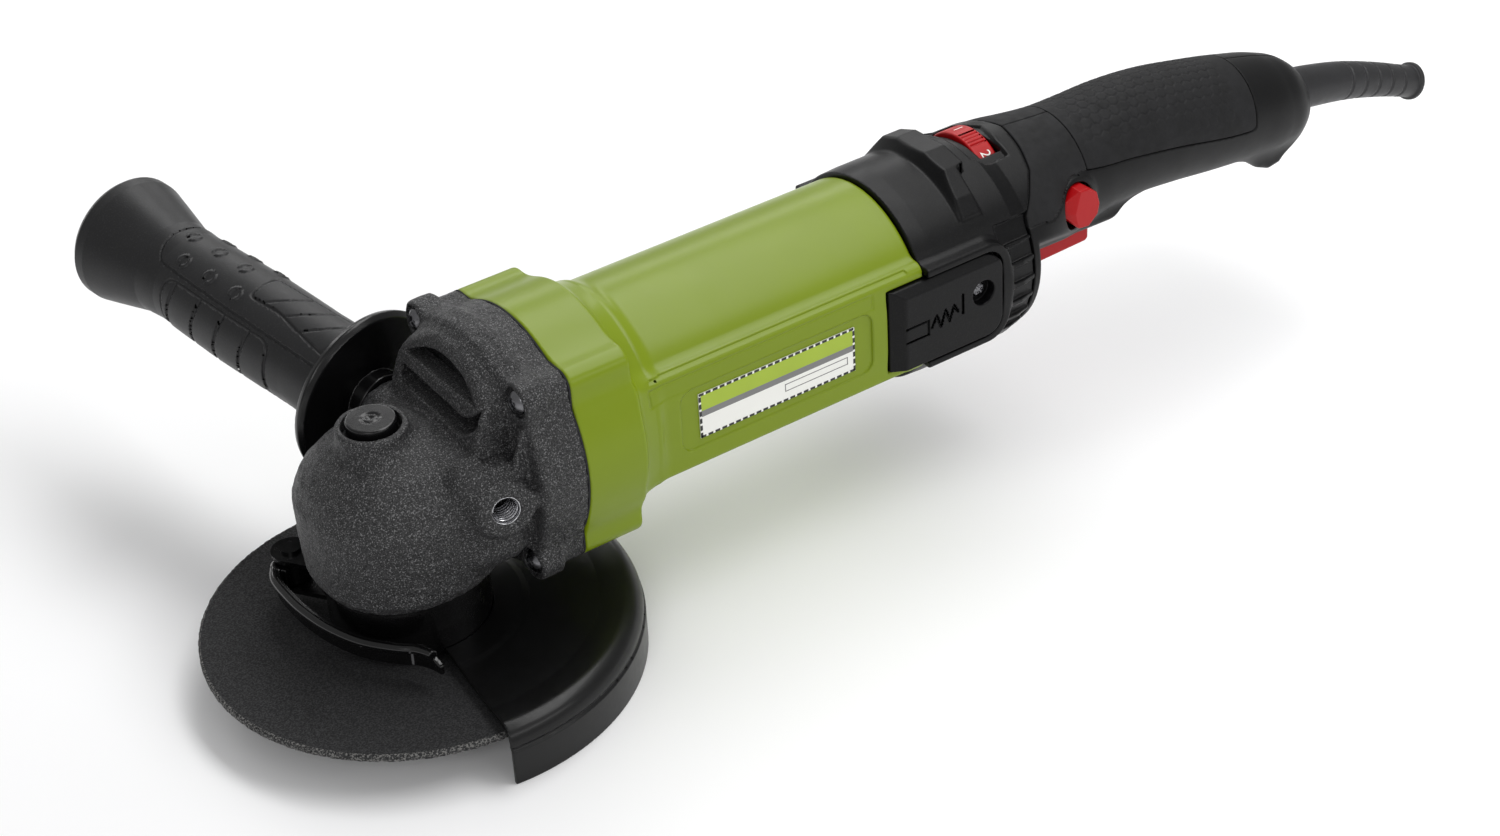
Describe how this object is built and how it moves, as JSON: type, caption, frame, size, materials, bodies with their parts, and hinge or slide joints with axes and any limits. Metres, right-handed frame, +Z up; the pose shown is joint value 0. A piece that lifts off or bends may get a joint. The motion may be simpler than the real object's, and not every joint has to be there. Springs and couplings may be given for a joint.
{
  "type": "angle grinder",
  "caption": "Corded angle grinder with an inline motor, a long rear trigger handle, a side handle, a clamped disc guard and a grinding disc.",
  "frame": {"origin": "centre of the spindle's free lower end", "axes": "+X along the motor axis toward the rear handle, +Z up along the spindle, +Y toward the side handle"},
  "size_m": [0.4693, 0.224, 0.1026],
  "materials": {
    "cast_black": "cast aluminium under coarse matte black paint",
    "bright_steel": "ground steel",
    "dark_steel": "black oxide steel",
    "spring_steel": "drawn spring wire",
    "bronze": "sintered bronze and brass",
    "gasket_paper": "oiled gasket paper",
    "bearing_alloy": "die-cast aluminium",
    "black_painted_steel": "semi-gloss black paint",
    "abrasive": "bonded abrasive grain, dark grey",
    "green_plastic": "glossy yellow-green moulded plastic",
    "label": "printed foil, plain",
    "black_plastic": "fine-textured black moulded plastic",
    "soft_black": "soft dark grey rubber",
    "red_plastic": "glossy red moulded plastic",
    "lamination": "stacked steel sheet",
    "copper": "varnished copper",
    "carbon": "pressed carbon",
    "circuit_board": "glass-filled board"
  },
  "bodies": {
    "housing": {"gear_housing": "cast_black", "gearbox_gasket": "gasket_paper", "gearbox_screws": "dark_steel", "bearing_cover": "cast_black", "bearing_cover_screws": "dark_steel", "spindle_lower_bearing": "bright_steel", "spindle_upper_bush": "bronze", "lock_spring": "spring_steel", "bearing_plate": "bearing_alloy", "front_bearing": "bright_steel", "baffle_plate": "black_plastic", "motor_housing": "green_plastic", "rating_plate": "label", "stator_core": "lamination", "field_coils": "copper", "stator_screws": "dark_steel", "rear_housing": "black_plastic", "rear_bearing": "bright_steel", "bearing_bush": "soft_black", "brush_holders": "bronze", "carbon_brushes": "carbon", "brush_springs": "spring_steel", "brush_cover_left": "black_plastic", "brush_cover_right": "black_plastic", "brush_cover_screws": "dark_steel", "speed_board": "circuit_board", "handle_left": "black_plastic", "handle_right": "black_plastic", "soft_grip": "soft_black", "handle_screws": "dark_steel", "switch_body": "black_plastic", "trigger_pin": "dark_steel", "trigger_spring": "spring_steel", "cord_clamp": "black_plastic", "strain_relief": "soft_black", "side_handle_grip": "black_plastic", "side_handle_stud": "dark_steel"},
    "spindle": {"spindle": "bright_steel", "retaining_ring": "dark_steel", "crown_gear": "bright_steel", "inner_flange": "bright_steel", "grinding_disc": "abrasive", "clamp_nut": "dark_steel"},
    "armature": {"armature_shaft": "bright_steel", "armature_core": "lamination", "armature_windings": "copper", "commutator": "copper", "cooling_fan": "black_plastic", "bevel_pinion": "bright_steel", "pinion_nut": "bright_steel"},
    "spindle_lock": {"lock_button": "black_plastic", "lock_pin": "dark_steel"},
    "guard": {"guard_shell": "black_painted_steel", "guard_band": "black_painted_steel", "clamp_bracket": "black_painted_steel", "clamp_pin": "bright_steel"},
    "guard_lever": {"clamp_lever": "black_painted_steel"},
    "trigger": {"trigger": "red_plastic"},
    "lock_on": {"lock_on_button": "red_plastic"},
    "dial": {"speed_dial": "red_plastic"}
  },
  "joints": [
    {"name": "spindle_spin", "type": "hinge", "parent": "housing", "child": "spindle", "pos_m": [0, 0, 0], "axis": [0, 0, 1], "continuous": true},
    {"name": "armature_spin", "type": "hinge", "parent": "housing", "child": "armature", "pos_m": [0, 0, 0.0605], "axis": [1, 0, 0], "continuous": true},
    {"name": "lock_button_press", "type": "slide", "parent": "housing", "child": "spindle_lock", "axis": [0, 0, -1], "range_m": [0, 0.004], "stiffness_N_per_m": 800, "springref_m": -0.002, "deforming": ["lock_spring"]},
    {"name": "guard_turn", "type": "hinge", "parent": "housing", "child": "guard", "pos_m": [0, 0, 0], "axis": [0, 0, 1], "range_deg": [-50, 40]},
    {"name": "guard_lever_swing", "type": "hinge", "parent": "guard", "child": "guard_lever", "pos_m": [-0.021, 0.0315, 0.02], "axis": [0, 0, -1], "range_deg": [0, 70]},
    {"name": "trigger_squeeze", "type": "hinge", "parent": "housing", "child": "trigger", "pos_m": [0.2316, 0, 0.049], "axis": [0, -1, 0], "range_deg": [0, 10], "stiffness_Nm_per_rad": 0.4, "springref_deg": -8.59, "deforming": ["trigger_spring"]},
    {"name": "lock_on_press", "type": "slide", "parent": "housing", "child": "lock_on", "axis": [0, 1, 0], "range_m": [0, 0.003], "stiffness_N_per_m": 500, "springref_m": -0.002},
    {"name": "speed_dial_turn", "type": "hinge", "parent": "housing", "child": "dial", "pos_m": [0.21, 0.0036, 0.07742], "axis": [-1, 0, 0], "range_deg": [-27, 245]}
  ],
  "couplings": [
    {"joint": "armature_spin", "follows": "spindle_spin", "ratio": 3.0833}
  ]
}
